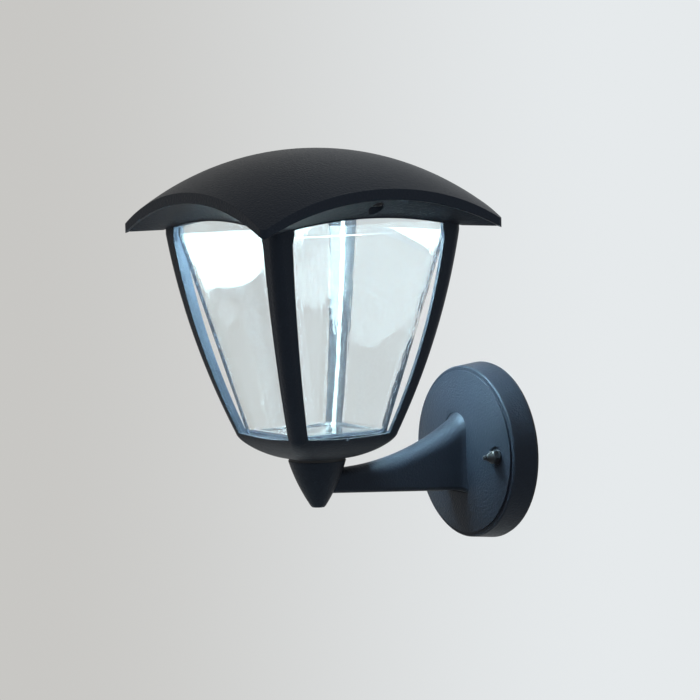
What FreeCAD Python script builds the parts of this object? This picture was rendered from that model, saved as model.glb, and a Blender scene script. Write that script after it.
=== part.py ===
"""Wall lantern: a square domed roof over a clear diffuser in a ribbed frame, on a horn arm and a round
wall plate.  Millimetres, +Z up.  The origin is on the wall, behind the centre of the wall plate; the wall
is the plane y = 0 and the lantern stands out along -Y."""

import os
from math import acos, cos, pi, radians, sin, sqrt, tan

import FreeCAD, Part

V = FreeCAD.Vector
ORIGIN = V(0, 0, 0)
X_AXIS = V(1, 0, 0)
Y_AXIS = V(0, 1, 0)
Z_AXIS = V(0, 0, 1)
SLANT = 1.0 - 1.0 / sqrt(2.0)    # how far the middle of a quarter round lies inside its corner

# ---------------------------------------------------------------- places and clearances
lantern_reach = 128.0            # wall to the lantern's vertical axis
joint_gap = 0.1                  # between cast faces that are screwed together
slip_gap = 0.3                   # round a loose or soft piece
thread_gap = 0.05                # radial, between a thread and its hole
cut_margin = 5.0                 # how far a cutting solid runs past what it cuts
pilot_gap = 0.7                  # between the end of a screw and the end of its hole
screw_head_round = 0.45          # pan head: edge round, as a share of the head's height
screw_end_chamfer = 0.3          # share of the shank's radius
recess_depth = 0.55              # cross recess: share of the head's height
recess_half_width = 0.14         # share of the head's radius
recess_reach = 0.62              # share of the head's radius

# ---------------------------------------------------------------- cup and base stack
cup_top_z = 3.6
cup_top_radius = 17.9
cup_waist_radius = 12.8
cup_waist_drop = 13.6
cup_tip_radius = 4.7
cup_tip_drop = 28.4
cup_tip_height = 0.8
cup_bore_depth = 20.0
base_gasket_thickness = 1.7
base_gasket_inset = 0.4

# ---------------------------------------------------------------- lantern frame
frame_wall = 3.0
frame_corner_radius = 6.0
dish_floor_half = 17.6
dish_floor_corner_radius = 13.0
dish_height = 15.7
dish_fullness = 1.5              # exponent of the dish's outline, 2 would be an ellipse
rib_foot_half = 38.1
rib_height = 123.5
rib_bulge = 3.5
rib_foot_flange = 8.7
rib_head_flange = 13.0
haunch_width = 1.4
haunch_height = 9.0
shoulder_half = 67.1
window_sill_dip = 1.3
window_head_drop = 0.8           # of the window's arch under the soffit's inner edge
soffit_inner_corner_rise = 2.5   # above the shoulder
soffit_inner_mid_rise = 10.2
soffit_outer_corner_rise = 1.8
soffit_outer_mid_rise = 21.4
soffit_thickness = 2.2
soffit_root = 0.5                # how far the soffit reaches into the collar's wall
collar_height = 15.5
roof_screw_inset = 10.8          # from the roof's face to the screw
roof_screw_boss_radius = 6.5
roof_screw_well_radius = 4.8
roof_screw_well_depth = 4.0      # above the soffit's face
roof_screw_web = 2.6
tray_boss_radius = 3.5
tray_boss_offset = 4.2           # from the collar's outside
tray_screw_spacing = 60.0
drain_width = 3.0
drain_depth = 1.0

# ---------------------------------------------------------------- roof cap
roof_overhang = 17.9             # of the roof's face past the collar
roof_corner_radius = 4.0
roof_wall = 2.5
roof_apex_rise = 51.5            # above the shoulder
roof_mid_rise = 27.2
roof_corner_rise = 5.2
roof_fullness = 0.15             # share of the fourth-power term in the dome's section
roof_grid = 9                    # points each way that the dome's surface is drawn through
eave_corner_rise = 0.4
eave_mid_rise = 20.7
eave_gap = 0.3
roof_post_radius = 5.0
roof_pilot_depth = 8.0
roof_screw_radius = 1.8
roof_screw_head_radius = 3.9
roof_screw_head_height = 2.6

# ---------------------------------------------------------------- clear diffuser and seal
diffuser_wall = 2.2
diffuser_head_radius = 14.0
diffuser_foot_radius = 12.8
diffuser_bottom_round = 4.5
diffuser_bottom_gap = 0.6        # under the window sill line
diffuser_lip_thickness = 2.0
diffuser_lip_radius = 24.0
lip_inset = 0.4                  # from the collar's outside
seal_thickness = 1.0
seal_width = 4.0

# ---------------------------------------------------------------- lamp tray and light source
tray_thickness = 1.5
tray_corner_radius = 28.0
tray_lug_margin = 3.6
tray_lug_radius = 3.0
tray_screw_radius = 1.5
tray_screw_depth = 5.0
tray_screw_head_radius = 2.8
tray_screw_head_height = 2.0
board_thickness = 1.6
board_corner_radius = 3.0
led_rows = 6
led_margin = 7.9                 # from the board's edge to the outer row
led_width = 3.5
led_length = 2.8
led_height = 0.7
cover_inset = 10.1               # from the collar's outside
cover_depth = 6.5
cover_wall = 1.5
cover_corner_radius = 8.0
cover_pin_radius = 1.6
cover_pin_neck_radius = 1.0
cover_pin_head = 1.0             # how far a pin stands above the tray
cover_pin_spacing = 40.0
driver_length = 70.0
driver_width = 44.0
driver_height = 18.0
driver_corner_radius = 3.0
driver_edge_round = 1.2
driver_ear = 8.0
driver_ear_thickness = 2.0
driver_screw_radius = 1.4
driver_screw_head_radius = 2.7
driver_screw_head_height = 1.8
dc_lead_radius = 0.9
dc_lead_spacing = 4.0
dc_lead_reach = 5.0              # past the driver's ear
dc_lead_turn = 4.5
dc_lead_hole_gap = 0.6

# ---------------------------------------------------------------- nipple, washer, locknut
nipple_radius = 5.0
nipple_bore_radius = 3.3
nipple_depth_in_cup = 9.0
nipple_proud = 0.5
nipple_washer_radius = 9.0
nipple_washer_thickness = 1.0
locknut_flats = 14.0
locknut_height = 3.5

# ---------------------------------------------------------------- arm
arm_start_inset = 1.9            # of the horn's level start inside the cup's rim
arm_start_drop = 6.0             # of the horn's top below the cup's rim, at its start
arm_foot_rise = 24.0             # top edge at the wall plate
arm_start_bottom = -16.9
arm_foot_bottom = -23.6
arm_start_half_width = 6.4
arm_foot_half_width = 11.0
arm_taper = 0.8                  # exponent of the width's change along the arm
arm_bottom_round = 3.0
arm_flare = 1.4
arm_flare_length = 6.0
arm_flare_power = 2.5
arm_channel_radius = 3.6
arm_channel_end_z = -9.8
arm_screw_spacing = 29.0
arm_screw_radius = 2.5
arm_screw_depth = 9.0
arm_screw_head_radius = 4.5
arm_screw_head_height = 3.0

# ---------------------------------------------------------------- wall plate
plate_back_radius = 56.2
plate_front_radius = 54.5
plate_depth = 17.6
plate_edge_round = 0.8
plate_step_radius = 51.5
plate_step = 1.2
plate_dome_rise = 6.8            # of the dome above the step
plate_wall = 2.8
plate_pad_radius = 27.5
plate_pad_depth = 19.4           # wall to the pad's inner face
arm_seat_depth = 23.6            # wall to the face the arm sits on
nut_spacing = 80.0
spotface_radius = 6.2
spotface_depth = 20.9            # wall to the face under the washer
wall_gasket_thickness = 1.5
wall_gasket_width = 5.0
wall_gasket_inset = 0.6

# ---------------------------------------------------------------- bracket, studs and cap nuts
bracket_half_length = 48.0
bracket_width = 20.0
bracket_thickness = 2.0
bracket_corner_radius = 3.0
bracket_offset = 4.0             # of the raised ends from the wall
bracket_flat_half = 31.0
bracket_bend_run = 3.0
bracket_bend_shift = 0.4
wall_slot_spacing = 44.0
wall_slot_length = 12.0
wall_slot_radius = 2.5
stud_radius = 2.0
stud_head_radius = 3.9
stud_head_height = 2.8
stud_in_nut = 4.2
stud_hole_gap = 0.4
washer_radius = 5.0
washer_thickness = 1.0
washer_bore_gap = 0.15
nut_flats = 8.0
nut_hex_height = 3.6
nut_chamfer = 0.5
nut_cone_height = 3.4
nut_cone_top_radius = 1.6
nut_tip_radius = 1.5
nut_tip_sink = 0.4
nut_bore_clearance = 0.5         # past the end of the stud
grommet_hole_radius = 6.5
grommet_flange_radius = 8.5
grommet_flange_thickness = 1.2
grommet_bore_radius = 3.5

# ---------------------------------------------------------------- terminals and earth
block_length = 32.0
block_width = 15.0
block_height = 9.0
block_z = 28.0
block_poles = 3
block_pole_pitch = 9.0
block_pole_bore_radius = 2.4
block_insert_radius = 1.5
block_insert_recess = 1.2
block_screw_radius = 1.3
block_screw_well_gap = 0.5
block_screw_sink = 1.5
block_screw_slot = 0.5
block_post_radius = 3.0
block_post_height = 3.0
block_fixing_radius = 1.2
block_fixing_depth = 4.0
block_fixing_head_radius = 2.2
block_fixing_head_height = 1.4
block_fixing_hole_gap = 0.3
earth_boss_radius = 4.5
earth_boss_height = 4.0
earth_x = 20.0
earth_z = -24.0
earth_screw_radius = 2.0
earth_screw_depth = 5.5
earth_screw_head_radius = 3.6
earth_screw_head_height = 2.4
earth_washer_radius = 4.2
earth_washer_thickness = 0.8
earth_washer_bore_gap = 0.2
earth_lead_radius = 1.1
earth_lead_drop = 6.0            # straight down from the block
earth_lead_back = 2.0            # of the bend behind the earth terminal
earth_lead_bend_z = 2.0
earth_lead_top_turn = 4.0
earth_lead_bend_turn = 8.0

# ---------------------------------------------------------------- supply lead
lead_radius = 1.4
lead_clearance = 0.25
lead_sleeve_top = 12.0           # where the sleeve ends and the two cores part
core_radius = 0.6
core_spacing = 1.3
core_turn = 2.6
lead_plate_turn = 6.5
lead_cup_turn = 6.0
lead_dish_turn = 4.6
lead_corner_turn = 8.0
lead_corner_shift = 0.4          # inwards, where the lead turns up from the dish into the rib
lead_rib_turn = 150.0
lead_shoulder_turn = 60.0
lead_roof_turn = 6.5
lead_driver_turn = 6.0
lead_driver_y = 13.0
lead_driver_reach = 15.0

# ---------------------------------------------------------------- levels worked out from the above
dish_bottom_z = cup_top_z + base_gasket_thickness
dish_floor_z = dish_bottom_z + frame_wall
rail_z = dish_bottom_z + dish_height
frame_inner_corner_radius = frame_corner_radius - frame_wall
shoulder_z = rail_z + rib_height
diffuser_bottom_z = rail_z - window_sill_dip - diffuser_bottom_gap
collar_top_z = shoulder_z + collar_height
seal_z = collar_top_z + diffuser_lip_thickness
tray_z = seal_z + seal_thickness
tray_top_z = tray_z + tray_thickness
board_z = tray_z - board_thickness
driver_mid_z = tray_top_z + driver_height / 2.0
roof_half = shoulder_half + roof_overhang
roof_screw_x = roof_half - roof_screw_inset
soffit_half = roof_half - roof_wall - eave_gap
tray_screw_y = shoulder_half + tray_boss_offset
cover_half = shoulder_half - cover_inset
cover_pin_x = cover_half - cover_wall - 2.0 * cover_pin_radius
board_half = cover_pin_x - cover_pin_radius - slip_gap
led_pitch = 2.0 * (board_half - led_margin) / (led_rows - 1)
dc_lead_x = driver_length / 2.0 + driver_ear + dc_lead_reach
stud_x = nut_spacing / 2.0
lantern_axis = V(0, -lantern_reach, 0)


# ================================================================ helpers
def on_lantern_axis(shape):
    """Move a shape drawn about the lantern's axis to its place in front of the wall."""
    shape.translate(lantern_axis)
    return shape


def cylinder(radius, start, end):
    """Round bar between two points."""
    run = end - start
    return Part.makeCylinder(radius, run.Length, start, run)


def tube(outer, inner, start, end):
    """Round tube between two points."""
    return cylinder(outer, start, end).cut(cylinder(inner, start, end))


def block(low, high):
    """Rectangular block between two corners."""
    return Part.makeBox(high.x - low.x, high.y - low.y, high.z - low.z, low)


def hexagon(flats, start, height, direction):
    """Hexagonal bar with the given width across flats."""
    corner = flats / sqrt(3.0)
    points = [V(corner * cos(radians(60 * k)), corner * sin(radians(60 * k)), 0) for k in range(7)]
    bar = Part.Face(Part.makePolygon(points)).extrude(V(0, 0, height))
    bar.Placement = FreeCAD.Placement(start, FreeCAD.Rotation(Z_AXIS, direction))
    return bar


def fuse(shapes):
    """One solid from touching or overlapping solids, with seams removed."""
    return shapes[0].fuse(shapes[1:]).removeSplitter()


def cut_all(shape, cutters):
    """The shape less every cutter."""
    for cutter in cutters:
        shape = shape.cut(cutter)
    return shape


def four_ways(shape):
    """The shape and its copies at quarter turns about the vertical axis."""
    copies = []
    for quarter in range(4):
        turned = shape.copy()
        turned.rotate(ORIGIN, Z_AXIS, 90 * quarter)
        copies.append(turned)
    return copies


def revolve(profile, axis):
    """Solid of revolution about an axis through the origin, from a closed list of edges."""
    return Part.Face(Part.Wire(profile)).revolve(ORIGIN, axis, 360)


def line(start, end):
    return Part.LineSegment(start, end).toShape()


def arc(start, middle, end):
    return Part.Arc(start, middle, end).toShape()


def chain(points):
    """Straight edges from point to point."""
    return [line(points[k], points[k + 1]) for k in range(len(points) - 1)]


def edges_at(solid, level, axis):
    """The edges whose centre lies at a level along an axis."""
    return [edge for edge in solid.Edges if abs(edge.CenterOfMass.dot(axis) - level) < 1e-6]


def rounded_square(half, radius, z, half_y=None):
    """Closed level wire about the axis: a square, or a rectangle if half_y is given, with round
    corners."""
    half_y = half if half_y is None else half_y
    slant = radius * SLANT
    ends = []
    for sx, sy in ((1, 1), (-1, 1), (-1, -1), (1, -1)):
        beside = V(sx * half, sy * (half_y - radius), z)
        middle = V(sx * (half - slant), sy * (half_y - slant), z)
        ahead = V(sx * (half - radius), sy * half_y, z)
        ends.append((beside, middle, ahead) if sx * sy > 0 else (ahead, middle, beside))
    edges = []
    for k in range(4):
        first, middle, last = ends[k]
        edges += [arc(first, middle, last), line(last, ends[(k + 1) % 4][0])]
    return Part.Wire(edges)


def square_loft(sections):
    """Solid through level rounded squares, each given as (half side, corner radius, z)."""
    return Part.makeLoft([rounded_square(*section) for section in sections], True, False)


def rounded_plate(half, radius, z, thickness, half_y=None):
    """Flat plate with rounded corners, its lower face at z."""
    return Part.Face(rounded_square(half, radius, z, half_y)).extrude(V(0, 0, thickness))


def bent_tube(points, turns, radius):
    """Round lead along straight runs joined by tangent arcs, one bend radius for each inner point."""
    edges = []
    start = points[0]
    for k in range(1, len(points) - 1):
        back = (points[k - 1] - points[k]).normalize()
        ahead = (points[k + 1] - points[k]).normalize()
        bisector = (back + ahead).normalize()
        half_turn = pi / 2.0 - acos(back.dot(bisector))
        first = points[k] + back * turns[k - 1] * tan(half_turn)
        last = points[k] + ahead * turns[k - 1] * tan(half_turn)
        middle = points[k] + bisector * turns[k - 1] * (1.0 / cos(half_turn) - 1.0)
        edges += [line(start, first), arc(first, middle, last)]
        start = last
    edges.append(line(start, points[-1]))
    path = Part.Wire(edges)
    section = Part.Wire(Part.Circle(points[0], points[1] - points[0], radius).toShape())
    lead = path.makePipeShell([section], True, False)
    print("  lead of %.1f mm: section x length / volume %.4f, bends %s"
          % (path.Length, pi * radius ** 2 * path.Length / lead.Volume, turns))
    return lead


def pan_screw(seat, direction, shank_radius, length, head_radius, head_height):
    """Pan-head screw with a cross recess: seat is the point under the head, and direction points
    along the shank."""
    into = V(direction).normalize()
    away = into * -1.0
    head = cylinder(head_radius, seat, seat + away * head_height)
    head = head.makeFillet(head_height * screw_head_round, edges_at(head, (seat + away * head_height).dot(away), away))
    shank = cylinder(shank_radius, seat, seat + into * length)
    shank = shank.makeChamfer(shank_radius * screw_end_chamfer, edges_at(shank, (seat + into * length).dot(into), into))
    screw = fuse([head, shank])
    side = away.cross(Z_AXIS if abs(away.z) < 0.9 else X_AXIS).normalize()
    slot_depth = head_height * recess_depth
    slot_half = head_radius * recess_half_width
    for across in (side, away.cross(side)):
        up = away.cross(across) * slot_half
        out = across * head_radius * recess_reach
        floor = seat + away * (head_height - slot_depth)
        corners = [floor - out - up, floor + out - up, floor + out + up, floor - out + up, floor - out - up]
        screw = screw.cut(Part.Face(Part.makePolygon(corners)).extrude(away * (slot_depth + cut_margin)))
    return screw


# ================================================================ outlines shared by several pieces
def rib_half(z):
    """Half width of the lantern between opposite rib faces at a level: one long arc."""
    run = shoulder_half - rib_foot_half
    chord = sqrt(rib_height ** 2 + run ** 2)
    radius = (chord ** 2 / 4.0 + rib_bulge ** 2) / (2.0 * rib_bulge)
    centre_x = (shoulder_half + rib_foot_half) / 2.0 - (radius - rib_bulge) * rib_height / chord
    centre_z = (shoulder_z + rail_z) / 2.0 + (radius - rib_bulge) * run / chord
    return centre_x + sqrt(radius ** 2 - (z - centre_z) ** 2)


def rib_flange(z):
    """Width of a rib's flange at a level, from its outer corner to the window."""
    return rib_foot_flange + (rib_head_flange - rib_foot_flange) * (z - rail_z) / rib_height


def soffit_level(x, share):
    """Height of the soffit's face at distance x from the axis; share is 1 in the middle of a side and 0
    at its corner."""
    inner = soffit_inner_corner_rise + (soffit_inner_mid_rise - soffit_inner_corner_rise) * share
    outer = soffit_outer_corner_rise + (soffit_outer_mid_rise - soffit_outer_corner_rise) * share
    across = (x - shoulder_half) / (soffit_half - shoulder_half)
    return shoulder_z + inner + (outer - inner) * across


def roof_screw_seat_z():
    """Level of the face under the head of a roof screw."""
    return soffit_level(roof_screw_x, 1.0) + roof_screw_well_depth


def roof_post_z():
    """Level where the roof's posts end, over the frame's screw bosses."""
    return roof_screw_seat_z() + roof_screw_web


def roof_level(x, y):
    """Height of the roof's outer face: a vault that falls in the same curve both ways."""
    u = (x / roof_half) ** 2
    w = (y / roof_half) ** 2
    to_mid = roof_apex_rise - roof_mid_rise
    to_corner = roof_apex_rise - roof_corner_rise
    fall = ((1.0 - roof_fullness) * (u + w) + roof_fullness * (u * u + w * w)) * to_mid
    return shoulder_z + roof_apex_rise - fall + (2.0 * to_mid - to_corner) * u * w


def vault(half, drop):
    """Solid under the roof's curve, lowered by drop, out to half on each side and far down."""
    places = [half * (2.0 * k / (roof_grid - 1) - 1.0) for k in range(roof_grid)]
    surface = Part.BSplineSurface()
    surface.interpolate([[V(x, y, roof_level(x, y) - drop) for y in places] for x in places])
    return surface.toShape().extrude(V(0, 0, -2.0 * roof_apex_rise))


# ================================================================ roof
def eave_cutter():
    """Bar along X whose arched top trims the lower edge of the roof's sides."""
    reach = roof_half + cut_margin
    corner_z = shoulder_z + eave_corner_rise
    low_z = shoulder_z - 2.0 * roof_apex_rise
    left = V(-reach, -roof_half, corner_z)
    right = V(-reach, roof_half, corner_z)
    outline = [arc(left, V(-reach, 0, shoulder_z + eave_mid_rise), right)]
    outline += chain([right, V(-reach, reach, corner_z), V(-reach, reach, low_z), V(-reach, -reach, low_z),
                      V(-reach, -reach, corner_z), left])
    return Part.Face(Part.Wire(outline)).extrude(V(2.0 * reach, 0, 0))


def roof_cap():
    """Domed die casting with arched eaves and two screw posts."""
    low_z = shoulder_z - roof_apex_rise
    height = 3.0 * roof_apex_rise
    outside = vault(roof_half, 0.0).common(rounded_plate(roof_half, roof_corner_radius, low_z, height))
    hollow_half = roof_half - roof_wall
    hollow_radius = roof_corner_radius - roof_wall
    hollow = vault(hollow_half, roof_wall).common(
        rounded_plate(hollow_half, hollow_radius, low_z - cut_margin, height))
    bar = eave_cutter()
    shell = cut_all(outside.cut(hollow), four_ways(bar)[:2])
    pieces_of_cap = [shell]
    pilots = []
    for x in (-roof_screw_x, roof_screw_x):
        foot = V(x, 0, roof_post_z())
        post = cylinder(roof_post_radius, foot, V(x, 0, shoulder_z + roof_apex_rise))
        pieces_of_cap.append(post.common(outside))
        pilots.append(cylinder(roof_screw_radius, foot, foot + V(0, 0, roof_pilot_depth)))
    return on_lantern_axis(cut_all(fuse(pieces_of_cap), pilots))


def roof_screws():
    """Two screws, up through the soffit wells into the roof's posts."""
    length = roof_screw_web + roof_pilot_depth - pilot_gap
    screws = [pan_screw(V(x, 0, roof_screw_seat_z()), Z_AXIS, roof_screw_radius - thread_gap, length,
                        roof_screw_head_radius, roof_screw_head_height)
              for x in (-roof_screw_x, roof_screw_x)]
    return on_lantern_axis(Part.makeCompound(screws))


# ================================================================ lantern frame
def ribbed_body(inset, corner_radius, floor_z, top_z):
    """Closed body of the lantern drawn inset from its outside: dish, curved sides, straight collar."""
    dish = []
    floor_half = dish_floor_half - inset
    floor_radius = dish_floor_corner_radius - inset
    foot_half = rib_foot_half - inset
    for angle in (90, 75, 60, 45, 30, 15, 0):
        depth = sin(radians(angle)) ** (2.0 / dish_fullness)
        spread = cos(radians(angle)) ** (2.0 / dish_fullness)
        half = floor_half + (foot_half - floor_half) * spread
        radius = corner_radius + (floor_radius - corner_radius) * depth ** 2
        dish.append((half, radius, rail_z - (rail_z - floor_z) * depth))
    levels = [rail_z + rib_height * k / 6.0 for k in range(7)]
    sides = [(rib_half(z) - inset, corner_radius, z) for z in levels]
    collar = rounded_plate(shoulder_half - inset, corner_radius, shoulder_z, top_z - shoulder_z)
    return fuse([square_loft(dish), square_loft(sides), collar])


def window_cutter():
    """Bar along X with the outline of a window: curved sides, haunches, arched head and dipped sill."""
    haunch_z = shoulder_z - haunch_height / 2.0
    mid_z = (rail_z + haunch_z) / 2.0
    head_y = shoulder_half - rib_head_flange - haunch_width
    arch_z = shoulder_z + soffit_inner_mid_rise - window_head_drop
    arch_fall = (soffit_inner_mid_rise - soffit_inner_corner_rise) * (head_y / shoulder_half) ** 2
    reach = shoulder_half + cut_margin
    side = [V(-reach, rib_half(z) - rib_flange(z), z) for z in (rail_z, mid_z, haunch_z)]
    side.append(V(-reach, head_y, shoulder_z + haunch_height / 4.0))
    side.append(V(-reach, head_y, arch_z - arch_fall))
    other = [V(-reach, -point.y, point.z) for point in side]
    outline = [arc(side[0], side[1], side[2])] + chain(side[2:])
    outline.append(arc(side[4], V(-reach, 0, arch_z), other[4]))
    outline += chain(other[:1:-1])
    outline.append(arc(other[2], other[1], other[0]))
    outline.append(arc(other[0], V(-reach, 0, rail_z - window_sill_dip), side[0]))
    return Part.Face(Part.Wire(outline)).extrude(V(2.0 * reach, 0, 0))


def soffit_side(top_rise, bottom_rise):
    """One mitred side of the flared soffit, on +X: a ruled solid from the collar's wall to the eaves,
    between two heights above the soffit's face."""
    wires = []
    for x in (shoulder_half - soffit_root, soffit_half):
        corner = soffit_level(x, 0.0)
        middle = soffit_level(x, 1.0)
        if bottom_rise is None:
            lower = [line(V(x, x, shoulder_z - cut_margin), V(x, -x, shoulder_z - cut_margin))]
        else:
            lower = [arc(V(x, x, corner + bottom_rise), V(x, 0, middle + bottom_rise),
                         V(x, -x, corner + bottom_rise))]
        upper = arc(V(x, -x, corner + top_rise), V(x, 0, middle + top_rise), V(x, x, corner + top_rise))
        down = line(upper.Vertexes[-1].Point, lower[0].Vertexes[0].Point)
        back = line(lower[0].Vertexes[-1].Point, upper.Vertexes[0].Point)
        wires.append(Part.Wire([upper, down] + lower + [back]))
    return Part.makeLoft(wires, True, True)


def tray_screw_points(z):
    """The four places of the tray's screws."""
    half = tray_screw_spacing / 2.0
    return [V(x, y, z) for x in (-half, half) for y in (-tray_screw_y, tray_screw_y)]


def lantern_frame():
    """Die casting: dish, ribs, collar, flared soffit and the bosses for the roof and the tray."""
    outside = ribbed_body(0.0, frame_corner_radius, dish_bottom_z, collar_top_z)
    inside = ribbed_body(frame_wall, frame_inner_corner_radius, dish_floor_z, collar_top_z + cut_margin)
    under_soffit = four_ways(soffit_side(0.0, None))
    bosses = []
    holes = []
    for x in (-roof_screw_x, roof_screw_x):
        seat = V(x, 0, roof_screw_seat_z())
        top = V(x, 0, roof_post_z() - joint_gap)
        bosses.append(cylinder(roof_screw_boss_radius, V(x, 0, shoulder_z + soffit_inner_mid_rise), top))
        holes.append(cylinder(roof_screw_well_radius, V(x, 0, shoulder_z), seat))
        holes.append(cylinder(roof_screw_radius + slip_gap, seat, top))
    for point in tray_screw_points(tray_z):
        bosses.append(cylinder(tray_boss_radius, V(point.x, point.y, shoulder_z + soffit_inner_corner_rise),
                               point))
        holes.append(cylinder(tray_screw_radius, point - V(0, 0, tray_screw_depth + pilot_gap), point))
    bosses = [cut_all(boss, under_soffit) for boss in bosses]
    trim = rounded_plate(soffit_half, roof_corner_radius - roof_wall, shoulder_z, roof_apex_rise)
    sides = [side.common(trim) for side in four_ways(soffit_side(soffit_thickness, 0.0))]
    frame = fuse([outside.cut(inside)] + sides + bosses)
    frame = cut_all(frame, four_ways(window_cutter())[:2] + holes)
    frame = frame.cut(cylinder(nipple_radius + slip_gap, V(0, 0, 0), V(0, 0, rail_z)))
    sill_z = rail_z - window_sill_dip
    drain = block(V(rib_foot_half - 2.0 * frame_wall, -drain_width / 2.0, sill_z - drain_depth),
                  V(rib_foot_half + cut_margin, drain_width / 2.0, rail_z))
    return on_lantern_axis(frame.cut(drain).removeSplitter())


# ================================================================ diffuser and seal
def diffuser_body(inset, bottom_z, bottom_round, top_z):
    """Closed bucket with straight, tapered sides, drawn inset from the diffuser's outside. The ribs
    bulge away from it between their foot and their head."""
    outer_inset = frame_wall + slip_gap + inset
    foot_z = bottom_z + bottom_round

    def side_at(z):
        share = (z - rail_z) / rib_height
        half = rib_foot_half + (shoulder_half - rib_foot_half) * share - outer_inset
        radius = diffuser_foot_radius + (diffuser_head_radius - diffuser_foot_radius) * share - inset
        return half, radius, z
    sides = [side_at(foot_z), side_at(shoulder_z)]
    base = []
    for angle in (0, 15, 30, 45, 60, 75, 90):
        pull = bottom_round * (1.0 - sin(radians(angle)))
        base.append((sides[0][0] - pull, sides[0][1] - pull, foot_z - bottom_round * cos(radians(angle))))
    collar = rounded_plate(shoulder_half - outer_inset, sides[-1][1], shoulder_z,
                           top_z - shoulder_z)
    return fuse([square_loft(base), square_loft(sides), collar])


def clear_diffuser():
    """Clear moulded bucket that hangs in the frame by its lip."""
    outside = diffuser_body(0.0, diffuser_bottom_z, diffuser_bottom_round, collar_top_z)
    inside = diffuser_body(diffuser_wall, diffuser_bottom_z + diffuser_wall,
                           diffuser_bottom_round - diffuser_wall / 2.0, seal_z + cut_margin)
    lip = rounded_plate(shoulder_half - lip_inset, diffuser_lip_radius, collar_top_z,
                        diffuser_lip_thickness)
    return on_lantern_axis(fuse([outside, lip]).cut(inside))


def diffuser_seal():
    """Silicone ring between the diffuser's lip and the lamp tray."""
    half = shoulder_half - lip_inset - slip_gap
    radius = diffuser_lip_radius - slip_gap
    ring = rounded_plate(half, radius, seal_z, seal_thickness)
    hole = rounded_plate(half - seal_width, radius - seal_width, seal_z, seal_thickness)
    return on_lantern_axis(ring.cut(hole))


# ================================================================ lamp tray and light source
def driver_screw_points(z):
    """The places of the driver's two screws."""
    x = driver_length / 2.0 + driver_ear / 2.0
    return [V(-x, 0, z), V(x, 0, z)]


def cover_pin_points(z):
    """The places of the cover's four pins."""
    return [V(sx * cover_pin_x, sy * cover_pin_spacing / 2.0, z) for sx in (-1, 1) for sy in (-1, 1)]


def dc_lead_points(z):
    """The places where the two low-voltage leads go down through the tray."""
    return [V(dc_lead_x, side * dc_lead_spacing / 2.0, z) for side in (-1, 1)]


def lamp_tray():
    """Aluminium plate that carries the board below and the driver above."""
    plate = rounded_plate(shoulder_half - lip_inset, tray_corner_radius, tray_z, tray_thickness)
    lugs = rounded_plate(tray_screw_spacing / 2.0 + tray_lug_margin, tray_lug_radius, tray_z,
                         tray_thickness, tray_screw_y + tray_lug_margin)
    holes = [(tray_screw_radius + slip_gap, tray_screw_points(tray_z)),
             (driver_screw_radius + thread_gap, driver_screw_points(tray_z)),
             (cover_pin_neck_radius, cover_pin_points(tray_z)),
             (dc_lead_radius + dc_lead_hole_gap, dc_lead_points(tray_z))]
    cutters = [cylinder(radius, point, point + V(0, 0, tray_thickness))
               for radius, points in holes for point in points]
    return on_lantern_axis(cut_all(fuse([plate, lugs]), cutters))


def tray_screws():
    """Four screws that hold the tray, the seal and the diffuser's lip down on the collar."""
    screws = [pan_screw(point, Z_AXIS * -1.0, tray_screw_radius - thread_gap,
                        tray_thickness + tray_screw_depth, tray_screw_head_radius, tray_screw_head_height)
              for point in tray_screw_points(tray_top_z)]
    return on_lantern_axis(Part.makeCompound(screws))


def led_board():
    """Aluminium-core circuit board under the tray."""
    board = rounded_plate(board_half, board_corner_radius, board_z, board_thickness)
    pads = [cylinder(dc_lead_radius + thread_gap, point - V(0, 0, board_thickness / 2.0), point)
            for point in dc_lead_points(tray_z)]
    return on_lantern_axis(cut_all(board, pads))


def led_packages():
    """Square grid of LED packages on the board's lower face."""
    size = V(led_width, led_length, led_height)
    start = -led_pitch * (led_rows - 1) / 2.0
    centres = [start + led_pitch * k for k in range(led_rows)]
    packages = []
    for x in centres:
        for y in centres:
            low = V(x - led_width / 2.0, y - led_length / 2.0, board_z - led_height)
            packages.append(block(low, low + size))
    return on_lantern_axis(Part.makeCompound(packages))


def opal_cover():
    """Shallow opal tray, pinned under the lamp tray, that spreads the light."""
    low = tray_z - cover_depth
    outer = rounded_plate(cover_half, cover_corner_radius, low, cover_depth)
    inner = rounded_plate(cover_half - cover_wall, cover_corner_radius - cover_wall, low + cover_wall,
                          cover_depth)
    pins = []
    for point in cover_pin_points(low):
        shoulder = V(point.x, point.y, tray_z)
        pins.append(cylinder(cover_pin_radius, point, shoulder))
        pins.append(cylinder(cover_pin_neck_radius, point, shoulder + V(0, 0, tray_thickness
                                                                        + cover_pin_head)))
    return on_lantern_axis(fuse([outer.cut(inner)] + pins))


def led_driver():
    """Potted driver with two fixing ears, on top of the tray."""
    case = rounded_plate(driver_length / 2.0, driver_corner_radius, tray_top_z, driver_height,
                         driver_width / 2.0)
    case = case.makeFillet(driver_edge_round, edges_at(case, tray_top_z + driver_height, Z_AXIS))
    ears = rounded_plate(driver_length / 2.0 + driver_ear, driver_corner_radius, tray_top_z,
                         driver_ear_thickness, driver_ear / 2.0)
    holes = [cylinder(driver_screw_radius + slip_gap, point, point + V(0, 0, driver_ear_thickness))
             for point in driver_screw_points(tray_top_z)]
    return on_lantern_axis(cut_all(fuse([case, ears]), holes))


def driver_screws():
    """Two self-tapping screws through the driver's ears."""
    length = driver_ear_thickness + tray_thickness - joint_gap
    screws = [pan_screw(point, Z_AXIS * -1.0, driver_screw_radius, length, driver_screw_head_radius,
                        driver_screw_head_height)
              for point in driver_screw_points(tray_top_z + driver_ear_thickness)]
    return on_lantern_axis(Part.makeCompound(screws))


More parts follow.
